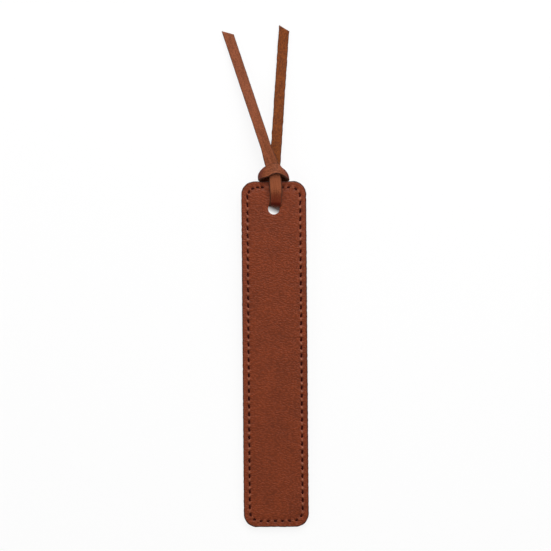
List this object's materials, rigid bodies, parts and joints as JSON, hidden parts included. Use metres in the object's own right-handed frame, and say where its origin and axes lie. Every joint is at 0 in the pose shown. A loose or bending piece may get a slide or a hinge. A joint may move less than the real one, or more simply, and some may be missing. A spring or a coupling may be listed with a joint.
{
  "type": "bookmark",
  "caption": "Slim stitched leather bookmark with rounded corners and a flat leather lace hitched through a punched hole at its top.",
  "frame": {"origin": "middle of the panel's back face", "axes": "+X across the panel, +Y along it towards the punched hole, +Z from its back to its front"},
  "size_m": [0.0362, 0.2181, 0.009],
  "materials": {
    "panel_leather": "brown pebbled satin leather with painted edges",
    "stiffener_sheet": "plain pale sheet",
    "seam_thread": "dark waxed sewing thread",
    "lace_leather": "brown satin lace with a napped flesh side"
  },
  "bodies": {
    "panel": {"front_leather": "panel_leather", "back_leather": "panel_leather", "stiffener": "stiffener_sheet", "seam_thread": "seam_thread"},
    "hitch": {"lace_hitch": "lace_leather"},
    "left_tail": {"lace_left_tail": "lace_leather"},
    "right_tail": {"lace_right_tail": "lace_leather"}
  },
  "joints": [
    {"name": "hitch_swivel", "type": "hinge", "parent": "panel", "child": "hitch", "pos_m": [0, 0.0631, 0.0011], "axis": [0, 0, 1], "range_deg": [-4, 4]},
    {"name": "left_tail_bend", "type": "hinge", "parent": "hitch", "child": "left_tail", "pos_m": [-0.00458, 0.094, 0.00375], "axis": [0.9511, 0.309, 0], "range_deg": [0, 90]},
    {"name": "right_tail_bend", "type": "hinge", "parent": "hitch", "child": "right_tail", "pos_m": [0.00156, 0.094, 0.0023], "axis": [0.9973, -0.0732, 0], "range_deg": [0, 90]}
  ]
}
